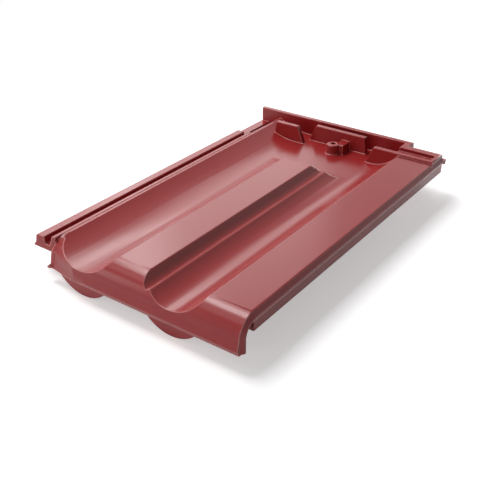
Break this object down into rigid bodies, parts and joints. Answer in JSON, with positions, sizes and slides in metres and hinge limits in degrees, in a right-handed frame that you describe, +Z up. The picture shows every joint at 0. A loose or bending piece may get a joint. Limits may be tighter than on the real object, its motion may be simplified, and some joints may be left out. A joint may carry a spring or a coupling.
{
  "type": "clay roof tile",
  "caption": "Double-trough interlocking clay roof tile with side lock, head lock ribs, nail boss, foot apron and hanging lugs.",
  "frame": {"origin": "centre of the bounding box's bottom face, on the floor that the feet and lugs rest on", "axes": "+Z up, +Y from the foot with its apron to the head with its lock ribs, +X from the side lock to the cover flange"},
  "size_m": [0.2504, 0.4022, 0.0496],
  "materials": {
    "glazed_clay": "satin engobe, wine red"
  },
  "bodies": {
    "root": {"clay_roof_tile": "glazed_clay"}
  },
  "joints": []
}
